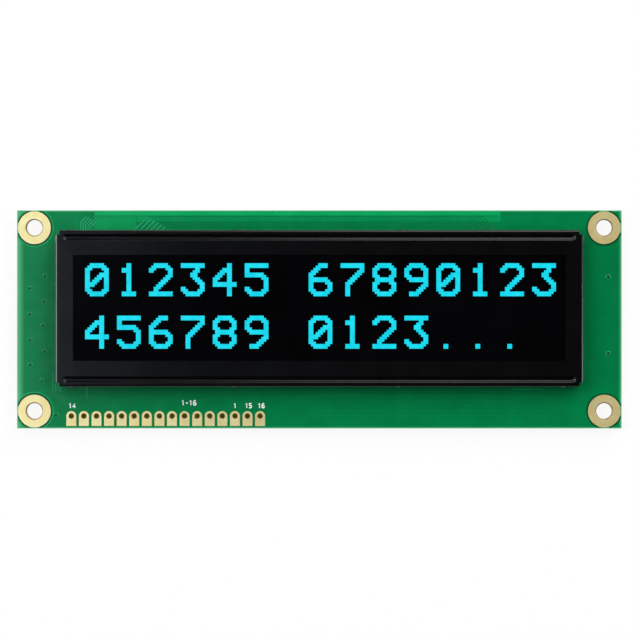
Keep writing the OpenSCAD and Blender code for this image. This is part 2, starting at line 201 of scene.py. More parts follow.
def board_edges(tree, colour):
    """Thins the lacquer towards the outline, paints a highlight along the left edge and bares the laminate on
    sawn walls, painted darker as shade in slots and holes.
    """
    spot = axes(tree)
    past_x = past_edge(tree, number(tree, "ABSOLUTE", spot["X"]), board_high.x, EDGE_X)
    past_y = past_edge(tree, number(tree, "ABSOLUTE", spot["Y"]), board_high.y, EDGE_Y)
    past = number(tree, "MAXIMUM", past_x, past_y)
    thin = number(tree, "POWER", number(tree, "MAXIMUM", past, 0.0), 1.5)
    leftwards = number(tree, "MULTIPLY", spot["X"], -1.0)
    # painted highlight: a pale band along the board's left edge, where the light falls
    painted_glare = number(tree, "MAXIMUM", past_edge(tree, leftwards, -board_low.x, PAINTED_GLARE), 0.0)
    painted_glare = number(tree, "MULTIPLY", number(tree, "POWER", painted_glare, 1.2), 0.85)
    colour = blend(tree, number(tree, "MAXIMUM", thin, painted_glare), colour, PALE_MASK)
    fibres = noise(tree, 900, 3.0, (1, 1, 6))
    bare = ramp(tree, fibres, tone(112, 128, 66), tone(164, 172, 104))
    # painted shade: the laminate inside slots and holes is drawn darker
    bare = blend(tree, number(tree, "LESS_THAN", past, 0.0), bare, SHADED_SLOT_WALL)
    sawn = number(tree, "LESS_THAN", flatness(tree, "True Normal"), 0.5)
    return blend(tree, sawn, colour, bare)


print("pale margins", round(EDGE_X / MM, 2), round(EDGE_Y / MM, 2), round(PAINTED_GLARE / MM, 2))

# %% [markdown]
# Mask over copper.
# The lacquer is lighter where copper lies under it and darker where the copper is cleared away. How much
# lighter depends on how much copper there is, so each kind of copper has its own pair of tones.

# %% solder mask
GRAIN = 0.03 * MM


def mask_finish(name, low, high, edges=None):
    """Green lacquer between two close tones."""
    finish, tree, shader = new_finish(name, 0.18, 0.0, 0.28)
    colour = ramp(tree, noise(tree, 260, 5.0), tone(*low), tone(*high), 0.3, 0.7)
    if edges:
        colour = edges(tree, colour)
    tree.links.new(colour, shader.inputs["Base Color"])
    tree.links.new(spread(tree, noise(tree, 500), 0.14, 0.2), shader.inputs["Roughness"])
    relief(tree, shader, noise(tree, 1300, 3.0), 0.06, GRAIN)
    return finish


solder_mask = mask_finish("solder_mask", (1, 113, 62), (3, 122, 67), board_edges)
mask_on_track = mask_finish("mask_on_track", (18, 142, 91), (24, 149, 98))
mask_on_plane = mask_finish("mask_on_plane", (4, 122, 68), (7, 130, 74))
mask_on_faint = mask_finish("mask_on_faint", (2, 117, 65), (4, 125, 69))
mask_on_bundle = mask_finish("mask_on_bundle", (2, 104, 57), (4, 111, 61))
mask_on_field = mask_finish("mask_on_field", (4, 134, 73), (7, 141, 78))
mask_on_copper = mask_finish("mask_on_copper", (8, 149, 82), (14, 159, 89))
# painted shadow: darker than bare mask, for the circles round the mounting rings
mask_in_gap_and_shadow = mask_finish("mask_in_gap_and_shadow", (0, 62, 32), (1, 73, 38))
# painted shade: a darker green for the pits of the vias
mask_in_pit_painted_shade = mask_finish("mask_in_pit_painted_shade", (0, 84, 46), (1, 94, 52))
print("mask finishes", sum(1 for m in bpy.data.materials if "mask" in m.name))

# %% [markdown]
# Gold.
# The gold is a thin flash over nickel, so it is pale and a little uneven. It is painted browner as painted
# shade on lips and walls, which the normal gives away, and in a narrow rim round each mounting hole. The
# four holes mirror each other across the middle of the board, so one distance finds all four rims.

# %% gold
SHADED_RIM_OUTER_R = 1.86 * MM
SHADED_RIM_INNER_R = 1.68 * MM
corners = [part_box(n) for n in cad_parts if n.startswith("mounting_ring")]
hole = (corners[0][0] + corners[0][1]) / 2
gold_plate, gold_tree, gold_shader = new_finish("gold_plate", 0.3, 0.65)
gold_spot = axes(gold_tree)
squares = []
for along, middle in ((gold_spot["X"], hole.x), (gold_spot["Y"], hole.y)):
    away = number(gold_tree, "SUBTRACT", number(gold_tree, "ABSOLUTE", along), abs(middle))
    squares.append(number(gold_tree, "MULTIPLY", away, away))
from_hole = number(gold_tree, "SQRT", number(gold_tree, "ADD", *squares))
# painted shade: brown on upright lips and walls and in a rim round each mounting hole
rim = spread(gold_tree, from_hole, 0.0, 1.0, SHADED_RIM_OUTER_R, SHADED_RIM_INNER_R)
shaded_lip = spread(gold_tree, flatness(gold_tree, "Normal"), 0.0, 1.0, 0.96, 0.7)
flash = ramp(gold_tree, noise(gold_tree, 700), tone(255, 229, 154), tone(255, 239, 174))
flash = blend(gold_tree, number(gold_tree, "MAXIMUM", shaded_lip, rim), flash, tone(136, 100, 56))
gold_tree.links.new(flash, gold_shader.inputs["Base Color"])
gold_tree.links.new(spread(gold_tree, noise(gold_tree, 280), 0.28, 0.33), gold_shader.inputs["Roughness"])
relief(gold_tree, gold_shader, noise(gold_tree, 1750), 0.03, GRAIN)
print("finish", gold_plate.name, "for holes", len(corners))

# %% [markdown]
# Tin, paint and film.
# Leads and chip ends are tinned. The bezel is steel under satin black paint with a fine orange peel. The
# screen is a smooth dark film, which stays black because the studio above it is dark. All three are two close
# tones with an uneven gloss and a faint relief, as most finishes below are, so one recipe serves them all.


# %% tin, paint and film
def plain_finish(name, low, high, scale, rough, metallic=0.0, specular=0.5, bump=0.08, depth=GRAIN):
    """A finish of two close tones with uneven gloss and a faint relief."""
    finish, tree, shader = new_finish(name, rough[0], metallic, specular)
    tree.links.new(ramp(tree, noise(tree, scale), tone(*low), tone(*high)), shader.inputs["Base Color"])
    tree.links.new(spread(tree, noise(tree, scale * 0.4), *rough), shader.inputs["Roughness"])
    relief(tree, shader, noise(tree, scale * 2.5), bump, depth)
    return finish


FINE = 0.01 * MM
tinned_metal = plain_finish("tinned_metal", (172, 174, 178), (206, 208, 212), 1100, (0.24, 0.4), 0.9)
bezel_paint = plain_finish("bezel_paint", (6, 6, 6), (8, 8, 9), 420, (0.15, 0.18), 0.0, 0.45, 0.03, FINE)
polariser_film = plain_finish("polariser_film", (3, 3, 4), (5, 5, 7), 90, (0.07, 0.11), 0.0, 0.4, 0.01, FINE)
print("finishes", tinned_metal.name, bezel_paint.name, polariser_film.name)

# %% [markdown]
# Glass, film and the parts behind.
# Most of these sit inside the bezel or on the back of the board. Each still gets its own colour and grain, so
# that a view from behind or through the open corners of the bezel is as finished as the front.

# %% glass, film and the parts behind
COARSE = 0.08 * MM
WAVY = 0.2 * MM
panel_glass = plain_finish("panel_glass", (96, 116, 116), (116, 136, 134), 200, (0.08, 0.14))
pixel_film = plain_finish("pixel_film", (20, 28, 32), (30, 40, 44), 800, (0.2, 0.3))
seal_resin = plain_finish("seal_resin", (190, 188, 172), (208, 206, 192), 900, (0.4, 0.55))
desiccant = plain_finish("desiccant", (222, 220, 210), (238, 236, 228), 1500, (0.8, 0.95), 0.0, 0.3, 0.3)
polyimide = plain_finish("polyimide", (150, 86, 22), (184, 116, 36), 500, (0.28, 0.4))
foam = plain_finish("foam", (206, 203, 194), (228, 225, 217), 2400, (0.85, 0.98), 0.0, 0.2, 0.5, COARSE)
silicon = plain_finish("silicon", (86, 90, 98), (112, 116, 124), 1200, (0.15, 0.25), 0.6)
epoxy = plain_finish("epoxy", (13, 13, 14), (22, 22, 23), 160, (0.22, 0.34), 0.0, 0.5, 0.2, WAVY)
moulding_black = plain_finish("moulding_black", (22, 22, 24), (34, 34, 36), 3000, (0.5, 0.62), 0.0, 0.4, 0.3)
capacitor_ceramic = plain_finish("capacitor_ceramic", (150, 118, 78), (178, 146, 102), 2200, (0.45, 0.6))
resistor_film = plain_finish("resistor_film", (24, 24, 27), (36, 37, 40), 1800, (0.25, 0.36))
legend_ink = plain_finish("legend_ink", (250, 252, 250), (255, 255, 255), 2600, (0.5, 0.65))
print("finishes so far", len(bpy.data.materials))

# %% [markdown]
# Two-part finishes.
# The inductor and the reservoir capacitor are each one solid with their metal feet. The feet touch the board
# and the body starts a tenth of a millimetre away from it, so height alone tells metal from body.

# %% two-part finishes
FOOT = 0.105 * MM


def footed_finish(name, low, high, scale, rough):
    """A body finish that turns to tinned metal close to the board's back."""
    finish, tree, shader = new_finish(name, rough)
    body = ramp(tree, noise(tree, scale), tone(*low), tone(*high))
    near = number(tree, "GREATER_THAN", axes(tree)["Z"], BACK - FOOT)
    tree.links.new(blend(tree, near, body, tone(196, 198, 202)), shader.inputs["Base Color"])
    tree.links.new(near, shader.inputs["Metallic"])
    relief(tree, shader, noise(tree, scale * 2), 0.2, GRAIN)
    return finish


ferrite = footed_finish("ferrite", (52, 53, 56), (74, 75, 78), 2600, 0.55)
moulding_yellow = footed_finish("moulding_yellow", (190, 134, 30), (212, 156, 46), 1400, 0.45)
print("finishes", ferrite.name, moulding_yellow.name)

# %% [markdown]
# Lit dots.
# Each dot gives its own light, so its colour is an emission of strength one, with a faint unevenness from dot
# to dot. Its own surface is black, so that studio light adds nothing to it.

# %% lit dots
lit_pixels, lit_tree, lit_shader = new_finish("lit_pixels", 0.3, 0.0, 0.2)
lit_shader.inputs["Base Color"].default_value = (0.0, 0.0, 0.0, 1.0)
lit_shader.inputs["Emission Strength"].default_value = 1.0
lit_colour = ramp(lit_tree, noise(lit_tree, 700), tone(8, 211, 231), tone(30, 226, 247))
lit_tree.links.new(lit_colour, lit_shader.inputs["Emission Color"])
print("finish", lit_pixels.name)

# %% [markdown]
# Dressing the model's own nodes.
# A node whose shape is right keeps its mesh and only gets a finish. The first words of a node's name say what
# it is made of.

# %% dress the nodes
FINISH_OF = {
    "circuit_board": solder_mask, "mounting_ring": gold_plate, "header_pad": gold_plate, "bezel": bezel_paint,
    "polariser": polariser_film, "front_glass": panel_glass, "cover_glass": panel_glass,
    "pixel_layer": pixel_film, "edge_seal": seal_resin, "desiccant_sheet": desiccant, "flex_tail": polyimide,
    "foam_tape": foam, "controller_die": silicon, "glob_top": epoxy, "boost_inductor": ferrite,
    "converter_body": moulding_black, "converter_leads": tinned_metal, "diode_body": moulding_black,
    "diode_leads": tinned_metal, "reservoir_capacitor": moulding_yellow,
    "chip_capacitor": capacitor_ceramic, "chip_resistor": resistor_film,
}
dressed = 0
for node_name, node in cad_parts.items():
    for start, finish in FINISH_OF.items():
        if node_name.startswith(start):
            node.data.materials.clear()
            node.data.materials.append(finish)
            dressed += 1
print("nodes dressed", dressed, "of", len(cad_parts))

# %% [markdown]
# Hand tools.
# Every operator acts on what is selected, so each step first clears the selection and then chooses one piece.
# A finished piece has its place in its mesh and its object at the origin, as the model's own nodes have.


# %% choosing and settling
def begin():
    """Leaves edit mode and clears the selection."""
    if bpy.context.object and bpy.context.object.mode == "EDIT":
        bpy.ops.object.mode_set(mode="OBJECT")
    bpy.ops.object.select_all(action="DESELECT")


def choose(*pieces):
    """Selects these pieces, the first one as the active one."""
    begin()
    for piece in pieces:
        piece.select_set(True)
    bpy.context.view_layer.objects.active = pieces[0]


def settle(piece):
    """Moves a piece's place, turn and size into its mesh."""
    choose(piece)
    bpy.ops.object.transform_apply(location=True, rotation=True, scale=True)


def pick(piece, wanted):
    """Selects the faces whose centre and normal are wanted, ready for an edit-mode tool."""
    choose(piece)
    bpy.ops.object.mode_set(mode="EDIT")
    bpy.ops.mesh.select_mode(type="FACE")
    bpy.ops.mesh.select_all(action="DESELECT")
    bpy.ops.object.mode_set(mode="OBJECT")
    for face in piece.data.polygons:
        face.select = wanted(face.center, face.normal)
    bpy.ops.object.mode_set(mode="EDIT")


begin()
print("selected", len(bpy.context.selected_objects))


# %% copying, joining and fitting out
def twin(piece):
    """A copy of a piece with a mesh of its own."""
    copy = piece.copy()
    copy.data = piece.data.copy()
    bpy.context.scene.collection.objects.link(copy)
    return copy


def join(pieces):
    """Joins pieces into the first one."""
    choose(*pieces)
    if len(pieces) > 1:
        bpy.ops.object.join()
    return pieces[0]


def fit_out(piece, name, finishes, slot, *nodes):
    """Names a finished piece, gives it its finishes and seats it on the module."""
    settle(piece)
    piece.name = name
    piece.data.name = name
    if finishes:
        piece.data.materials.clear()
        for finish in finishes:
            piece.data.materials.append(finish)
    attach(piece, "root")
    if nodes:
        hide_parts(*nodes)
    print(name, "faces", len(piece.data.polygons))
    return piece


print("tools", twin.__name__, join.__name__, fit_out.__name__)

# %% [markdown]
# The digits on the screen.
# The display draws five by seven dots for each character and rounds its diagonals with half dots. A digit is
# cut from a sheet of ten by fourteen half dots: the unlit ones are deleted and the rest gets a hair of
# thickness. Each digit is made once and copied to where it is shown.

# %% dots of the digits
DOTS = {
    "0": ("01110", "10001", "10011", "10101", "11001", "10001", "01110"),
    "1": ("00100", "01100", "00100", "00100", "00100", "00100", "01110"),
    "2": ("01110", "10001", "00001", "00010", "00100", "01000", "11111"),
    "3": ("11111", "00010", "00100", "00010", "00001", "10001", "01110"),
    "4": ("00010", "00110", "01010", "10010", "11111", "00010", "00010"),
    "5": ("11111", "10000", "11110", "00001", "00001", "10001", "01110"),
    "6": ("00110", "01000", "10000", "11110", "10001", "10001", "01110"),
    "7": ("11111", "00001", "00010", "00100", "01000", "01000", "01000"),
    "8": ("01110", "10001", "10001", "01110", "10001", "10001", "01110"),
    "9": ("01110", "10001", "10001", "01111", "00001", "00010", "01100"),
}
STOP_DOT = {(3, 12), (4, 12), (3, 13), (4, 13)}


def half_dots(rows):
    """The lit half dots of a character, as (column, row) from its upper left."""
    dots = {(c, r) for r, row in enumerate(rows) for c, mark in enumerate(row) if mark == "1"}
    lit = {(2 * c + i, 2 * r + j) for c, r in dots for i in (0, 1) for j in (0, 1)}
    for c, r in dots:
        for side in (-1, 1):
            steps = (c + side, r + 1) in dots and (c + side, r) not in dots and (c, r + 1) not in dots
            if steps:
                lit.add((2 * c + 2 if side > 0 else 2 * c - 1, 2 * r + 1))
                lit.add((2 * c + 1 if side > 0 else 2 * c, 2 * r + 2))
    return lit


print("half dots of a zero", len(half_dots(DOTS["0"])))

# %% cut each digit from a sheet of half dots
COLUMNS = 10
ROWS = 14
HALF_W = 0.4748 * MM
HALF_H = 0.4724 * MM
LIT_T = 0.015 * MM


def light_digit(mark):
    """One lit character with its upper left corner at the origin."""
    begin()
    bpy.ops.mesh.primitive_grid_add(x_subdivisions=COLUMNS, y_subdivisions=ROWS, size=2)
    sheet = bpy.context.object
    sheet.scale = (COLUMNS / 2 * HALF_W, ROWS / 2 * HALF_H, 1)
    sheet.location = (COLUMNS / 2 * HALF_W, -ROWS / 2 * HALF_H, 0)
    settle(sheet)
    lit = STOP_DOT if mark == "." else half_dots(DOTS[mark])
    pick(sheet, lambda c, n: (int(c.x / HALF_W), int(-c.y / HALF_H)) not in lit)
    bpy.ops.mesh.delete(type="FACE")
    choose(sheet)
    depth = sheet.modifiers.new("thickness", "SOLIDIFY")
    depth.thickness = LIT_T
    depth.offset = 1.0
    bpy.ops.object.modifier_apply(modifier=depth.name)
    return sheet


digits = {mark: light_digit(mark) for mark in "0123456789."}
print("digits cut", len(digits), "faces of a zero", len(digits["0"].data.polygons))

# %% set the two lines
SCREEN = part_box("polariser")[1].z
LEFT = -46.92 * MM
STEP = 6.396 * MM
LINES = {"lit_line_1": (11.25 * MM, "012345 67890123"), "lit_line_2": (0.75 * MM, "456789 0123...")}
for line_name, (top, words) in LINES.items():
    shown = []
    for place, mark in enumerate(words):
        if mark == " ":
            continue
        copy = twin(digits[mark])
        copy.location = (LEFT + place * STEP, top, SCREEN)
        settle(copy)
        shown.append(copy)
    fit_out(join(shown), line_name, [lit_pixels], "lit_pixels")
for sheet in digits.values():
    bpy.data.objects.remove(sheet)

# %% [markdown]
# Lines on the board.
# Tracks and printed figures are both lines of one width on a flat board. They could be painted in a material,
# but a real ridge catches the light along its flanks, as the board does. Each run is a curve with a round
# section, made a mesh and then flattened until only a hair of it stands out of the board.


# %% lay lines
def lay_lines(name, runs, width, rise, level, finish, slot="solder_mask"):
    """One finished piece from many runs, each a list of places in millimetres."""
    begin()
    line = bpy.data.curves.new(name, "CURVE")
    line.dimensions = "3D"
    line.bevel_depth = width / 2 * MM
    line.bevel_resolution = 1
    line.use_fill_caps = True
    for run in runs:
        spline = line.splines.new("POLY")
        spline.points.add(len(run) - 1)
        for point, (x, y) in zip(spline.points, run):
            point.co = (x * MM, y * MM, 0, 1)
    lines = bpy.data.objects.new(name, line)
    bpy.context.scene.collection.objects.link(lines)
    choose(lines)
    bpy.ops.object.convert(target="MESH")
    lines.scale = (1, 1, 2 * rise / width)
    lines.location = (0, 0, level)
    settle(lines)
    bpy.ops.object.shade_smooth_by_angle(angle=math.radians(50))
    return fit_out(lines, name, [finish], slot)


print("tool", lay_lines.__name__)

# %% [markdown]
# Printed numbers.
# The header's pins are numbered in white ink. A screen print for a board uses figures of single strokes, so
# each figure is written here as one run in a box of height one. A text object would do too, but its strokes
# vary in width.

# %% printed numbers
STROKES = {
    "1": [(0.1, 0.76), (0.32, 1.0), (0.32, 0.0)],
    "4": [(0.44, 0.0), (0.44, 1.0), (0.0, 0.3), (0.62, 0.3)],
    "5": [(0.54, 1.0), (0.1, 1.0), (0.06, 0.56), (0.3, 0.63), (0.5, 0.53), (0.56, 0.3), (0.46, 0.07),
          (0.26, 0.0), (0.02, 0.1)],
    "6": [(0.52, 0.94), (0.36, 1.0), (0.18, 0.92), (0.06, 0.66), (0.04, 0.32), (0.12, 0.08), (0.3, 0.0),
          (0.48, 0.08), (0.56, 0.3), (0.48, 0.52), (0.3, 0.6), (0.12, 0.5), (0.05, 0.32)],
    "-": [(0.1, 0.45), (0.48, 0.45)],
}
FIGURE_W = 0.6
FIGURE_STEP = 0.82
INK_W = 0.24
INK_RISE = 0.02


def print_number(words, x, y, height, name):
    """White figures of the given height, centred on a place on the board's front."""
    left = x - height * (FIGURE_STEP * (len(words) - 1) + FIGURE_W) / 2
    runs = []
    for place, mark in enumerate(words):
        start = left + place * FIGURE_STEP * height
        runs.append([(start + u * height, y + (v - 0.5) * height) for u, v in STROKES[mark]])
    return lay_lines(name, runs, INK_W, INK_RISE, FRONT, legend_ink, "legend_ink")


PIN_PRINT_Y = -17.42
PIN_PRINT_H = 0.9
for words, x in (("14", -49.89), ("1", -17.02), ("15", -14.3), ("16", -11.72)):
    print_number(words, x, PIN_PRINT_Y, PIN_PRINT_H, "print_" + words)
print_number("1-16", -26.33, -16.83, 0.96, "print_row")

# %% [markdown]
# Copper under the mask.
# A track shows through the lacquer as a low ridge of lighter green. Above the bezel five tracks rise side by
# side, and six more slant up to the right, run along the board as a bundle and slant down again. In the
# bundle it is the gaps that show, as darker lines. The runs follow what can be made out in the picture and
# stop where the bezel hides them.

# %% tracks above the bezel
TRACK_W = 0.22
TRACK_RISE = 0.015
RISER_X = -48.14
RISER_STEP = 0.494
RISER_TOP = 19.6
RISER_BEND = 1.2
BEZEL_EDGE = 18.0
BUNDLE_TOP = 20.72
BUNDLE_STEP = 0.41
track_runs = []
for row in range(5):
    x = RISER_X + RISER_STEP * row
    y = RISER_TOP - 0.25 * row
    track_runs.append([(x, BEZEL_EDGE - 0.5), (x, y), (x + RISER_BEND, y + RISER_BEND)])
bundle_runs = []
for row in range(6):
    y = BUNDLE_TOP - BUNDLE_STEP * row
    climb = y - BEZEL_EDGE
    left = -37.3 + 1.1 * row
    right = 33.0 - 0.5 * row
    track_runs.append([(left, BEZEL_EDGE), (left + climb, y)])
    bundle_runs.append([(left + climb, y), (right, y), (right + climb, BEZEL_EDGE)])
lay_lines("front_bundle", bundle_runs, 0.2, 0.016, FRONT, mask_on_bundle)

# %% tracks beside and below the bezel
track_runs.append([(-53.75, -10.7), (-53.75, -14.7)])
for row in range(3):
    x = -53.2 + 0.5 * row
    track_runs.append([(x, -12.9), (x, -14.5)])
track_runs.append([(-46.9, -12.6), (-46.9, -16.0)])
lay_lines("front_tracks", track_runs, TRACK_W, TRACK_RISE, FRONT, mask_on_track)
faint_runs = [[(-46.2, -13.95), (-39.3, -13.95)]]
for row in range(3):
    x = 0.75 * row
    faint_runs.append([(x - 53.75, -14.7), (x - 51.2, -17.2)])
for row in range(5):
    y = -15.4 - 1.0 * row
    bend = 44.4 + 0.5 * row
    faint_runs.append([(-8.0 + 1.5 * row, y), (bend, y), (bend + 1.8, y + 1.8)])
for row in range(5):
    x = 31.0 + 1.6 * row
    faint_runs.append([(x, -13.0), (x, -14.6)])
lay_lines("front_tracks_faint", faint_runs, 0.3, 0.01, FRONT, mask_on_faint)

# %% [markdown]
# Pours on the front.
# A pour is a field of copper that fills the room between tracks. One runs along the upper edge of the board.
# Two lower fields lie next to it, one left of the bundle and one under the bundle's upper lines. A field with
# straight sides is a very broad line, so the same tool lays it.

# %% pours on the front
POUR_LEFT = -45.4
POUR_RIGHT = 36.6
FIELD_RIGHT = -36.9
FIELD_RISE = 0.01
pour_run = [(POUR_LEFT, 21.37), (POUR_RIGHT, 21.37)]
plane_run = [(FIELD_RIGHT + 0.1, 20.3), (POUR_RIGHT, 20.3)]
field_run = [(POUR_LEFT, 19.45), (FIELD_RIGHT, 19.45)]
bus_run = [(38.8, -14.05), (45.2, -14.05)]
lay_lines("front_pour", [pour_run], 0.8, TRACK_RISE, FRONT, mask_on_copper)
lay_lines("front_plane", [plane_run], 1.1, FIELD_RISE, FRONT, mask_on_field)
lay_lines("front_field", [field_run], 2.7, FIELD_RISE, FRONT, mask_on_field)
lay_lines("front_bus", [bus_run], 0.2, TRACK_RISE, FRONT, mask_on_copper)

# %% [markdown]
# Vias.
# A via is a plated hole that joins the copper of both faces. The lacquer covers it and leaves a small crater
# with a raised rim, and the pit is painted a darker green as painted shade. It starts as a low cylinder that
# stands in the board. Its top is inset four times, twice while rising to the rim and twice while falling to
# the pit. One crater is made and copied to each place.

# %% vias on the front
CRATER = ((0.06, 0.03), (0.09, 0.015), (0.09, -0.015), (0.08, -0.02))
CRATER_R = 0.57 * MM
CRATER_ROOT = 0.04 * MM
PIT_R = 0.3 * MM


def make_crater(finishes):
    """A crater at the origin, with the first finish on its rim and the second, a painted shade, in its pit.
    """
    begin()
    root = (0, 0, -CRATER_ROOT / 2)
    bpy.ops.mesh.primitive_cylinder_add(vertices=24, radius=CRATER_R, depth=CRATER_ROOT, location=root)
    crater = bpy.context.object
    settle(crater)
    pick(crater, lambda c, n: n.z > 0.9)
    for inwards, upwards in CRATER:
        bpy.ops.mesh.inset(thickness=inwards * MM, depth=upwards * MM)
    bpy.ops.object.mode_set(mode="OBJECT")
    for finish in finishes:
        crater.data.materials.append(finish)
    # painted shade: the faces in the pit get the darker finish
    for face in crater.data.polygons:
        if face.normal.z > 0 and math.hypot(face.center.x, face.center.y) < PIT_R:
            face.material_index = 1
    choose(crater)
    bpy.ops.object.shade_smooth_by_angle(angle=math.radians(50))
    return crater


def lay_vias(name, places, size, level, finishes):
    """Craters of the given size at places on one face, as one piece."""
    crater = make_crater(finishes)
    copies = []
    for x, y in places:
        copy = twin(crater)
        copy.scale = (size, size, 1)
        copy.rotation_euler = (0 if level == FRONT else math.pi, 0, 0)
        copy.location = (x * MM, y * MM, level)
        settle(copy)
        copies.append(copy)
    bpy.data.objects.remove(crater)
    return fit_out(join(copies), name, None, "solder_mask")


VIAS = [(-58.4, 6.2), (-55.3, 8.7), (-55.5, 3.6), (-58.4, 1.0), (-55.7, -1.3), (-58.4, -4.2), (-55.4, -6.5),
        (-58.3, -9.2), (-55.9, -12.4), (-53.1, -19.3), (58.3, 8.5), (58.3, -6.9)]
lay_vias("front_vias", VIAS, 1.0, FRONT, [mask_on_plane, mask_in_pit_painted_shade])

# %% [markdown]
# Circles round the mounting rings.
# Round each mounting ring the copper stops at a circle, which shows as a dark line; it is drawn darker than
# bare mask, partly this gap and partly painted shadow of the ring. On the left the copper begins again
# outside it, and its edge is a lighter line, a painted highlight on the lit side. They are lines like the
# tracks, broken where they would leave the board.

# %% circles round the mounting rings
ARC_STEP = 2
OUTLINE_GAP = 0.02


def arcs_on_board(x, y, radius, margin):
    """Runs along a circle round a corner hole, broken where it comes too close to the board's outline."""
    runs = [[]]
    outwards = 0 if x > 0 else 180
    for turn in range(0, 360 + ARC_STEP, ARC_STEP):
        angle = math.radians(outwards + turn)
        place = (x + radius * math.cos(angle), y + radius * math.sin(angle))
        if abs(place[0]) < board_high.x / MM - margin and abs(place[1]) < board_high.y / MM - margin:
            runs[-1].append(place)
        elif runs[-1]:
            runs.append([])
    return [run for run in runs if len(run) > 1]


# painted shadow on the dark circles, and painted highlight on the lighter circles laid only on the left
CIRCLES = (("ring_gaps_and_shadows", 3.46, 0.34, mask_in_gap_and_shadow), ("copper_arcs_and_highlights", 3.8, 0.2, mask_on_copper))
for name, radius, width, finish in CIRCLES:
    runs = []
    for low, high in corners:
        middle = (low + high) / 2 / MM
        if middle.x < 0 or name == "ring_gaps_and_shadows":
            runs += arcs_on_board(middle.x, middle.y, radius, width / 2 + OUTLINE_GAP)
    for level, side in ((FRONT, "front"), (BACK, "back")):
        lay_lines(name + "_" + side, runs, width, TRACK_RISE, level, finish)

# %% [markdown]
# Chips on the back.
# A chip capacitor and a chip resistor are both small bricks with metal ends. The brick starts as a cube with
# its edges rounded. Two cuts part the ends from the middle, and the middle is sunk a little, so that the ends
# stand proud. Each kind is made once and copied to the places that the model gives, turned where it lies
# across.

# %% a chip
CHIP_ROUND = 0.07 * MM
CHIP_MIDDLE = 0.3
CHIP_STEP = 0.01 * MM
CHIP_SINK = 0.03 * MM


def block(size, place):
    """A cuboid of the given size with its middle at a place, as a start for other tools."""
    begin()
    bpy.ops.mesh.primitive_cube_add(size=1)
    piece = bpy.context.object
    piece.scale = size
    piece.location = place
    settle(piece)
    return piece


def round_off(piece, width, segments):
    """Rounds every edge of a piece."""
    choose(piece)
    rounding = piece.modifiers.new("rounding", "BEVEL")
    rounding.width = width
    rounding.segments = segments
    bpy.ops.object.modifier_apply(modifier=rounding.name)


def make_chip(node_name, finishes):
    """A chip as large as a node, long in X and hanging from level zero: body, metal ends and any film."""
    low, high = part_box(node_name)
    length = max(high.x - low.x, high.y - low.y)
    width = min(high.x - low.x, high.y - low.y)
    height = high.z - low.z
    end = CHIP_MIDDLE * length
    chip = block((length, width, height), (0, 0, -height / 2))
    round_off(chip, CHIP_ROUND, 3)
    bpy.ops.object.mode_set(mode="EDIT")
    for x in (-end, end):
        bpy.ops.mesh.select_all(action="SELECT")
        bpy.ops.mesh.bisect(plane_co=(x, 0, 0), plane_no=(1, 0, 0))
    pick(chip, lambda c, n: abs(c.x) < end)
    bpy.ops.mesh.inset(thickness=CHIP_STEP, depth=-CHIP_SINK)
    bpy.ops.object.mode_set(mode="OBJECT")
    for finish in finishes:
        chip.data.materials.append(finish)
    for face in chip.data.polygons:
        middle = abs(face.center.x) < end - 1.2 * CHIP_STEP
        face.material_index = 0 if middle else 1
        if middle and len(finishes) > 2 and face.normal.z < -0.9:
            face.material_index = 2
    choose(chip)
    bpy.ops.object.shade_smooth_by_angle(angle=math.radians(40))
    return chip


alumina = plain_finish("alumina", (206, 204, 196), (224, 222, 214), 2400, (0.4, 0.5))
capacitor = make_chip("chip_capacitor_2", [capacitor_ceramic, tinned_metal])
resistor = make_chip("chip_resistor_1", [alumina, tinned_metal, resistor_film])
print("faces of a chip", len(capacitor.data.polygons), len(resistor.data.polygons))

# %% chips in their places
KINDS = (("chip_capacitor", capacitor, "capacitor_ceramic"), ("chip_resistor", resistor, "resistor_film"))
for kind, pattern, slot in KINDS:
    for node_name in [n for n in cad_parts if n.startswith(kind)]:
        low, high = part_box(node_name)
        copy = twin(pattern)
        copy.location = ((low.x + high.x) / 2, (low.y + high.y) / 2, BACK)
        if high.y - low.y > high.x - low.x:
            copy.rotation_euler = (0, 0, math.pi / 2)
        fit_out(copy, "soldered_" + node_name, None, slot, node_name)
    bpy.data.objects.remove(pattern)

# %% [markdown]
# Solder.
# Molten solder climbs the metal end of a part and cools with a hollow face. A cube does for it once its outer
# edge is bevelled with a hollow profile. Under each joint lies a flat tinned pad, a cube with rounded edges
# that stands half in the board.

# %% solder and pads
PAD_T = 0.04 * MM
PAD_ROUND = 0.015 * MM
PAD_MARGIN = 0.2 * MM


def solder_wedge(width, size):
    """A hollow-faced wedge that leans on a wall at X zero and hangs from level zero."""
    wedge = block((size, width, size), (size / 2, 0, -size / 2))
    pick(wedge, lambda c, n: False)
    bpy.ops.mesh.select_mode(type="EDGE")
    bpy.ops.object.mode_set(mode="OBJECT")
    for edge in wedge.data.edges:
        tips = [wedge.data.vertices[v].co for v in edge.vertices]
        edge.select = all(tip.x > 0.9 * size and tip.z < -0.9 * size for tip in tips)
    bpy.ops.object.mode_set(mode="EDIT")
    bpy.ops.mesh.bevel(offset=0.94 * size, segments=5, profile=0.1, affect="EDGES")
    bpy.ops.object.mode_set(mode="OBJECT")
    return wedge


def flat_pad(width, size):
    """A thin pad that reaches a little under the part and a little past its wall at X zero."""
    pad = block((2.6 * size, width + PAD_MARGIN, PAD_T), (0.3 * size, 0, 0))
    round_off(pad, PAD_ROUND, 2)
    return pad


print("tools", solder_wedge.__name__, flat_pad.__name__)

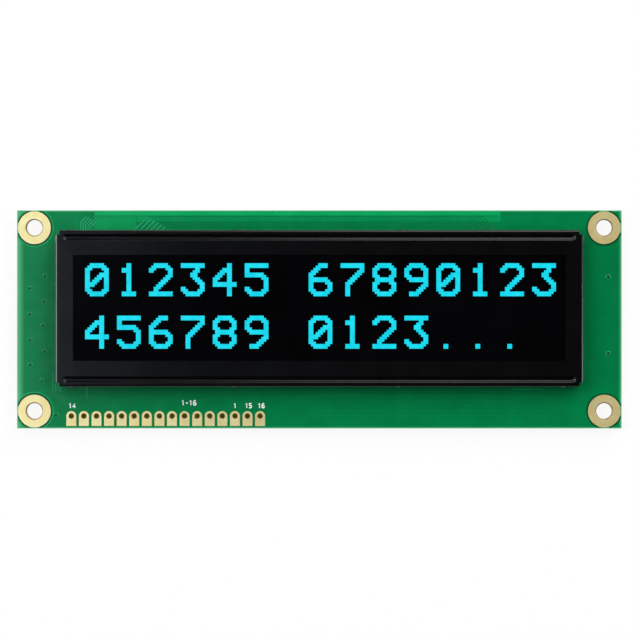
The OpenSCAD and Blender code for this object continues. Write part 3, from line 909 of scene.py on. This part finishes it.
# %% where the joints are
CHIP_SOLDER = 0.32 * MM
LEAD_SOLDER = 0.14 * MM
LEAD_STEP = 0.95 * MM
WIDTH_SHARE = {"chip_": 0.85, "boost_inductor": 0.5, "reservoir_capacitor": 0.75}
joints = []
for start, share in WIDTH_SHARE.items():
    for node_name in [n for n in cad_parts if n.startswith(start)]:
        low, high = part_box(node_name)
        reach = (high - low) / 2
        width = 2 * share * min(reach.x, reach.y)
        for turn in ((90, 270) if reach.y > reach.x else (0, 180)):
            joints.append(((low + high) / 2, max(reach.x, reach.y), turn, width, CHIP_SOLDER))
low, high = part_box("converter_leads")
for place in (-1, 0, 1):
    for turn in (90, 270):
        lead = (low + high) / 2
        lead.x += place * LEAD_STEP
        joints.append((lead, (high.y - low.y) / 2, turn, 0.42 * MM, LEAD_SOLDER))
low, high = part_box("diode_leads")
for turn in (0, 180):
    joints.append(((low + high) / 2, (high.x - low.x) / 2, turn, 0.6 * MM, LEAD_SOLDER))

# %% solder and pads in their places
for name, shape in (("solder_joints", solder_wedge), ("back_pads", flat_pad)):
    pieces = []
    for middle, reach, turn, width, size in joints:
        piece = shape(width, size)
        angle = math.radians(turn)
        piece.rotation_euler = (0, 0, angle)
        piece.location = (middle.x + reach * math.cos(angle), middle.y + reach * math.sin(angle), BACK)
        settle(piece)
        pieces.append(piece)
    fit_out(join(pieces), name, [tinned_metal], "tinned_metal")

# %% [markdown]
# Copper on the back.
# Ten tracks bring the header's signals to the controller under its drop of epoxy, and thirteen go on from
# there to the small holes that lead to the panel's flexible tail on the other face. Each group is one loop.

# %% tracks of the controller
PIN_STEP = 2.54
CUT = 0.6
VIA_ROW_Y = -9.4
VIA_GAP = 0.3
back_runs = []
back_holes = []
for row in range(10):
    x = -44.98 + PIN_STEP * row
    y = -14.9 - 0.33 * row
    goal = 0.8 * row
    inwards = [(x, -18.6), (x, y - CUT), (x + CUT, y), (goal - CUT, y), (goal, y + CUT), (goal, -2.0)]
    back_runs.append(inwards)
for row in range(6):
    x = -1.6 - 0.85 * (5 - row)
    y = 0.2 - 0.4 * row
    foot = VIA_ROW_Y - row % 2
    back_runs.append([(2.0, y), (x + CUT, y), (x, y - CUT), (x, foot + VIA_GAP)])
    back_holes.append((x, foot))
for row in range(7):
    x = 8.4 + 0.7 * row
    goal = 9.4 + 1.2 * row
    y = -6.5 + 0.67 * row
    foot = VIA_ROW_Y - row % 2
    back_runs.append([(x, 0.0), (x, y), (goal, y - goal + x), (goal, foot + VIA_GAP)])
    back_holes.append((goal, foot))
print("tracks of the controller", len(back_runs), "and their holes", len(back_holes))

# %% [markdown]
# Short tracks and supply.
# The chips have short tracks of their own, some of them to a hole, and the step-up converter on the right has
# short broad runs, because it carries more current. These follow no pattern, so they are written out.

# %% tracks of the chips
back_runs += [
    [(-5.0, 9.0), (-3.6, 9.0), (-0.6, 6.0), (2.0, 6.0)],
    [(-8.3, 8.6), (-8.3, 7.4), (-6.3, 5.4), (2.0, 5.4)],
    [(-11.3, 8.6), (-11.3, 7.4), (-8.7, 4.8), (2.0, 4.8)],
    [(-7.0, 3.3), (-6.1, 4.2), (2.0, 4.2)],
    [(-6.9, 9.3), (-6.9, 11.6)], [(-9.9, 9.3), (-9.9, 11.6)], [(-12.9, 9.3), (-12.9, 11.6)],
    [(-6.9, 11.6), (-24.0, 11.6), (-25.0, 10.6)],
    [(-11.0, -5.0), (-12.0, -5.0)], [(-14.0, -5.0), (-18.0, -5.0), (-21.0, -8.0)],
    [(-9.0, -5.0), (-8.4, -5.6), (-8.4, -8.5)], [(-7.0, 0.7), (-7.0, -1.2)],
    [(20.2, -6.0), (22.0, -6.0), (24.0, -4.0), (24.0, 0.0)], [(17.9, -6.4), (17.9, -8.0)],
    [(24.0, 2.0), (24.0, 3.2), (24.9, 4.1), (26.6, 4.1), (27.05, 4.55)],
    [(27.0, 2.0), (25.6, 2.0)], [(29.0, 2.0), (29.9, 2.9), (29.9, 3.5), (28.95, 4.45)],
    [(23.0, 4.9), (23.0, 4.1)], [(41.0, -0.6), (41.0, -2.0)],
]
back_holes += [
    (-25.2, 10.4), (-21.2, -8.2), (-8.4, -8.8), (-7.0, -1.5), (17.9, -8.3), (25.3, 2.0), (23.0, 3.8),
    (41.0, -2.3), (23.0, 12.0), (21.6, -9.4), (20.6, -9.4), (21.6, -10.4), (20.6, -10.4),
]
lay_lines("back_tracks", back_runs, 0.24, TRACK_RISE, BACK, mask_on_track)

# %% broad runs of the supply
broad_runs = [
    [(23.0, 7.1), (23.0, 11.7)], [(23.0, 9.5), (27.0, 9.5)], [(23.0, 7.9), (26.5, 7.9), (27.05, 7.35)],
    [(29.0, 9.5), (31.0, 9.5), (32.4, 8.1), (32.4, 6.0)],
    [(36.0, 6.0), (37.4, 6.0), (37.4, 2.8), (31.2, 2.8)],
    [(28.95, 7.5), (30.4, 7.5), (31.2, 6.7), (31.2, 0.9), (31.6, 0.5), (32.3, 0.5)],
    [(35.8, 0.5), (38.4, 0.5), (39.0, 1.1), (39.0, 5.0)], [(41.0, 1.6), (41.0, 2.6), (39.0, 2.6)],
    [(38.4, 0.5), (38.4, -2.6), (37.0, -4.0), (27.0, -4.0), (22.0, -9.0)], [(42.6, 5.0), (47.0, 5.0)],
    [(-11.9, -20.6), (39.0, -20.6), (47.0, -12.6), (47.0, -10.5)],
]
lay_lines("back_power_tracks", broad_runs, 0.7, TRACK_RISE, BACK, mask_on_copper)
lay_vias("back_vias", back_holes, 0.72, BACK, [mask_on_track, mask_in_pit_painted_shade])

# %% [markdown]
# Pours on the back.
# Two broad pours fill the ends of the board, clear of the bezel's tabs. Each starts as a plane. Its corners
# are rounded by a bevel of its four points, and it is then drawn into the board, so that it has sides.

# %% pours on the back
POUR_RISE = 0.01 * MM
POUR_CORNER = 1.2 * MM
POUR_BOTTOM = -11.2
POUR_TOP = 15.2


def lay_pour(left, right):
    """A broad field of copper under the mask with rounded corners."""
    begin()
    bpy.ops.mesh.primitive_plane_add(size=1)
    field = bpy.context.object
    field.scale = ((right - left) * MM, (POUR_TOP - POUR_BOTTOM) * MM, 1)
    field.location = ((left + right) / 2 * MM, (POUR_BOTTOM + POUR_TOP) / 2 * MM, BACK - POUR_RISE)
    settle(field)
    bpy.ops.object.mode_set(mode="EDIT")
    bpy.ops.mesh.select_all(action="SELECT")
    bpy.ops.mesh.flip_normals()
    bpy.ops.mesh.bevel(offset=POUR_CORNER, segments=6, affect="VERTICES")
    bpy.ops.mesh.extrude_region_move(TRANSFORM_OT_translate={"value": (0, 0, 2 * POUR_RISE)})
    bpy.ops.object.mode_set(mode="OBJECT")
    return field


pours = join([lay_pour(46.4, 55.6), lay_pour(-55.6, -29.0)])
fit_out(pours, "back_pours", [mask_on_plane], "solder_mask")

# %% [markdown]
# Print on the back.
# White outlines show where each part goes. They are laid like the figures on the front.

# %% outlines printed on the back
ROOM = {"boost_inductor": 0.45, "reservoir_capacitor": 0.75, "diode_leads": 0.8, "converter_leads": 0.5}
DROP_PRINT_R = 8.3
outlines = []
for node_name, room in ROOM.items():
    low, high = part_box(node_name)
    left, right = low.x / MM - room, high.x / MM + room
    bottom, top = low.y / MM - room, high.y / MM + room
    outlines.append([(left, bottom), (right, bottom), (right, top), (left, top), (left, bottom)])
low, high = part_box("glob_top")
drop = (low + high) / 2 / MM
turns = [math.radians(6 * step) for step in range(61)]
outlines.append([(drop.x + DROP_PRINT_R * math.cos(a), drop.y + DROP_PRINT_R * math.sin(a)) for a in turns])
lay_lines("back_print", outlines, 0.2, 0.025, BACK, legend_ink, "legend_ink")

# %% [markdown]
# Camera.
# The module lies on its back and the camera looks straight down on it, with a long lens so that the bezel's
# walls hardly show. The lens follows from the picture: about 4.955 picture points for each millimetre.

# %% camera
POINTS_PER_MM = 4.955
PICTURE = 640
SENSOR = 36
DISTANCE = 0.6
begin()
bpy.ops.object.camera_add(location=(0.13 * MM, -0.12 * MM, FRONT + DISTANCE), rotation=(0, 0, 0))
camera = bpy.context.object
camera.data.sensor_width = SENSOR
camera.data.lens = POINTS_PER_MM * SENSOR / PICTURE * DISTANCE / MM
camera.data.clip_end = 20
bpy.context.scene.camera = camera
print("lens", round(camera.data.lens, 1))

# %% [markdown]
# Floor.
# The floor is white to the eye and keeps a soft shadow: nine tenths of it is a glow that only the camera and
# mirrors see, and the rest is a pale matt sheet. Under the module there is no glow, so the shadow there is
# whole. Under the header the sheet is painted brown and under the slots dark, as painted shade, so that
# these openings look dark from above.

# %% floor and its zones
SHADE = (0, 0, 53.5, 21.5)
PIN_ROW = (-31, -19.5, 20.5, 1.0)
SLOT_FIELD = (0, 0, 52.5, 18.4)
begin()
bpy.ops.mesh.primitive_plane_add(size=6)
floor = bpy.context.object
floor.name = "floor"
paper = bpy.data.materials.new("studio_paper")
paper.use_nodes = True
paper_tree = paper.node_tree
paper_tree.nodes.clear()
floor_spot = axes(paper_tree)


def on_paper(operation, first, second=None):
    """One step of arithmetic in the paper's tree."""
    return number(paper_tree, operation, first, second)


def within(x, y, half_x, half_y):
    """One inside a rectangle on the floor, given in millimetres, and zero outside it."""
    inside = []
    for along, middle, half in ((floor_spot["X"], x, half_x), (floor_spot["Y"], y, half_y)):
        away = on_paper("ABSOLUTE", on_paper("SUBTRACT", along, middle * MM))
        inside.append(on_paper("LESS_THAN", away, half * MM))
    return on_paper("MULTIPLY", *inside)


open_floor = on_paper("SUBTRACT", 1.0, within(*SHADE))
under_pins = within(*PIN_ROW)
under_slots = within(*SLOT_FIELD)
print("floor", floor.dimensions.x)

# %% [markdown]
# Light from below.
# From below the floor is clear, and right under the board it lets light through, so that the back can be
# looked at. It stays shut under the pins, and under the slots it is shut to mirrors. Without that, the walls
# of these openings would show the bright room below as pale specks in the view from above.

# %% light from below
SLOT_ROWS = ((0, 17.7, 52.5, 0.6), (0, -13.3, 52.5, 0.6))
SLOT_HALF = 1.6
TAB_FIRST = -49.9
TAB_STEP = 33.267
rays = paper_tree.nodes.new("ShaderNodeLightPath")
along = on_paper("ADD", floor_spot["X"], (TAB_STEP / 2 - TAB_FIRST) * MM)
along = on_paper("FLOORED_MODULO", along, TAB_STEP * MM)
from_tab = on_paper("ABSOLUTE", on_paper("SUBTRACT", along, TAB_STEP / 2 * MM))
slots = on_paper("MAXIMUM", within(*SLOT_ROWS[0]), within(*SLOT_ROWS[1]))
slots = on_paper("MULTIPLY", slots, on_paper("LESS_THAN", from_tab, SLOT_HALF * MM))
shut = on_paper("MAXIMUM", under_pins, on_paper("MULTIPLY", slots, rays.outputs["Is Glossy Ray"]))
unseen = on_paper("SUBTRACT", 1.0, rays.outputs["Is Camera Ray"])
light_well = on_paper("MULTIPLY", within(0, 0, board_high.x / MM, board_high.y / MM), unseen)
light_well = on_paper("MULTIPLY", light_well, on_paper("SUBTRACT", 1.0, shut))
print("steps in the paper so far", len(paper_tree.nodes))

# %% paper
GLOW = 0.9
WHITE_SHEET = (0.9, 0.9, 0.9, 1)
PAINTED_SHADE_BROWN = (0.34, 0.23, 0.07, 1)
PAINTED_SHADE_DARK = (0.04, 0.03, 0.015, 1)


def mix_shaders(share, first, second):
    """The first shader where the share is 0, the second where it is 1."""
    node = paper_tree.nodes.new("ShaderNodeMixShader")
    for source, socket in zip((share, first, second), node.inputs):
        paper_tree.links.new(source, socket)
    return node.outputs["Shader"]


# painted shade: brown under the header's holes and dark under the slots
sheet_tone = blend(paper_tree, under_pins, WHITE_SHEET, PAINTED_SHADE_BROWN)
sheet_tone = blend(paper_tree, under_slots, sheet_tone, PAINTED_SHADE_DARK)
matt = paper_tree.nodes.new("ShaderNodeBsdfDiffuse")
paper_tree.links.new(sheet_tone, matt.inputs["Color"])
seen = on_paper("MAXIMUM", rays.outputs["Is Camera Ray"], rays.outputs["Is Glossy Ray"])
seen = on_paper("MAXIMUM", seen, rays.outputs["Is Transmission Ray"])
glow_share = on_paper("MULTIPLY", on_paper("MULTIPLY", seen, open_floor), GLOW)
glow = paper_tree.nodes.new("ShaderNodeEmission")
top_side = mix_shaders(glow_share, matt.outputs["BSDF"], glow.outputs["Emission"])
sides = paper_tree.nodes.new("ShaderNodeNewGeometry")
clear = paper_tree.nodes.new("ShaderNodeBsdfTransparent")
clear_share = on_paper("MAXIMUM", sides.outputs["Backfacing"], light_well)
result = paper_tree.nodes.new("ShaderNodeOutputMaterial")
paper_tree.links.new(mix_shaders(clear_share, top_side, clear.outputs["BSDF"]), result.inputs["Surface"])
floor.data.materials.append(paper)
print("steps in the paper", len(paper_tree.nodes))

# %% [markdown]
# Lamps.
# Black paint shows hardly anything but what it mirrors. A narrow strip left of the top makes the sheen on the
# left of the bezel, and three small lamps near the floor draw the bright lines on its folds and beads.


# %% lamps
def soft_light(name, place, width, depth, radiance, level=False):
    """A soft light that faces the module, or straight down, and shows at the given brightness."""
    begin()
    bpy.ops.object.light_add(type="AREA", location=place)
    lamp = bpy.context.object
    lamp.name = name
    lamp.data.shape = "RECTANGLE"
    lamp.data.size = width
    lamp.data.size_y = depth
    lamp.data.energy = radiance * math.pi * width * depth
    if not level:
        lamp.rotation_euler = (-lamp.location).to_track_quat("-Z", "Y").to_euler()
    lamp.visible_camera = False
    return lamp


sheen = soft_light("sheen_strip", (-0.27, 0.1, 1.0), 0.16, 0.9, 2.75, level=True)
sheen.data.color = (0.84, 1.0, 1.2)
soft_light("left_low_light", (-0.85, 0.0, 0.36), 0.22, 0.4, 13.0)
soft_light("right_low_light", (0.85, -0.08, 0.36), 0.17, 0.4, 10.0)
soft_light("top_low_light", (0.38, 0.82, 0.65), 0.9, 0.5, 3.9)

# %% [markdown]
# Sky.
# Two broad soft boxes hang to the upper left and the upper right, high enough to light the board and low
# enough for the bezel to shade the strip beside it. They could be lamps, but the sky gives them softer ends.
# A ramp on height gives their lower and upper ends, and overhead it is dark, so the screen stays black. The
# left box is a little brighter than the right one. A dim room below lights the back.

# %% sky
SKY_STOPS = ((0.0, 0.02), (0.62, 0.04), (0.7, 1.0), (0.89, 1.0), (0.93, 0.002))
SKY_LEVEL = 4.8
ROOM_LEVEL = 0.17
world = bpy.data.worlds.new("studio")
bpy.context.scene.world = world
world.use_nodes = True
air = world.node_tree
outlook = axes(air, "Generated")


def leaning_left(gain):
    """A share that is one in the middle and rises towards the left by the gain."""
    return number(air, "SUBTRACT", 1.0, number(air, "MULTIPLY", outlook["X"], gain))


sky = air.nodes.new("ShaderNodeValToRGB")
for stop, (height, level) in enumerate(SKY_STOPS):
    mark = sky.color_ramp.elements[0] if stop == 0 else sky.color_ramp.elements.new(height)
    mark.position = height
    mark.color = (level, level, level, 1)
sky.color_ramp.elements.remove(sky.color_ramp.elements[-1])
air.links.new(outlook["Z"], sky.inputs["Fac"])
sideways = spread(air, number(air, "ABSOLUTE", outlook["X"]), 0.03, 1.0, 0.2, 0.4)
upper = spread(air, outlook["Y"], 0.05, 1.0, 0.0, 0.25)
boxes = sky.outputs["Color"]
for share in (sideways, upper, leaning_left(0.25)):
    boxes = number(air, "MULTIPLY", boxes, share)
below = spread(air, outlook["Z"], 0.0, ROOM_LEVEL, 0.0, -0.2)
underside = number(air, "MULTIPLY", below, leaning_left(0.6))
backdrop = air.nodes["Background"]
air.links.new(number(air, "ADD", boxes, underside), backdrop.inputs["Color"])
backdrop.inputs["Strength"].default_value = SKY_LEVEL
bpy.context.scene.view_settings.view_transform = "Standard"
print("sky stops", len(sky.color_ramp.elements))
